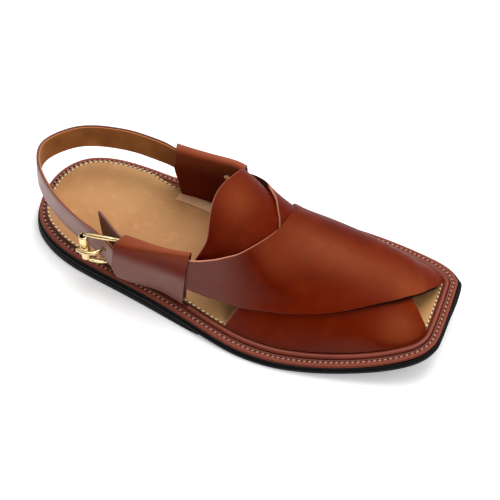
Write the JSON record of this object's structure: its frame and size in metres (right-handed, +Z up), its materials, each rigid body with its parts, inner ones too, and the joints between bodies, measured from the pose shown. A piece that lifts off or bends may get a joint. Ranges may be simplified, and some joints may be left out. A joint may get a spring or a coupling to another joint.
{
  "type": "peshawari chappal",
  "caption": "Leather sandal with broad bands crossed over the forefoot, a tongue, folded side keepers, a buckled back strap and an open toe, on a flat stitched sole.",
  "frame": {"origin": "bottom centre of the bounding box, on the floor the shoe stands on", "axes": "+X towards the toe, +Y towards the medial (inner) side, +Z up"},
  "size_m": [0.2926, 0.1238, 0.0782],
  "materials": {
    "upper_leather": "smooth red-brown leather, semi-gloss",
    "welt_leather": "red-brown sole leather with a braid and stitches",
    "insole_leather": "smooth tan leather, satin",
    "sole_rubber": "matt black rubber",
    "brass": "polished pale brass"
  },
  "bodies": {
    "root": {"outsole": "sole_rubber", "heel_lift": "sole_rubber", "midsole": "welt_leather", "piping": "welt_leather", "insole": "insole_leather", "upper": "upper_leather", "tongue": "upper_leather", "ear_lateral": "upper_leather", "ear_medial": "upper_leather", "heel_strap": "upper_leather", "buckle_guard": "upper_leather", "buckle_frame": "brass", "buckle_roller": "brass", "buckle_prong": "brass", "rivet_medial": "brass", "rivet_lateral_upper": "brass", "rivet_lateral_lower": "brass"}
  },
  "joints": []
}
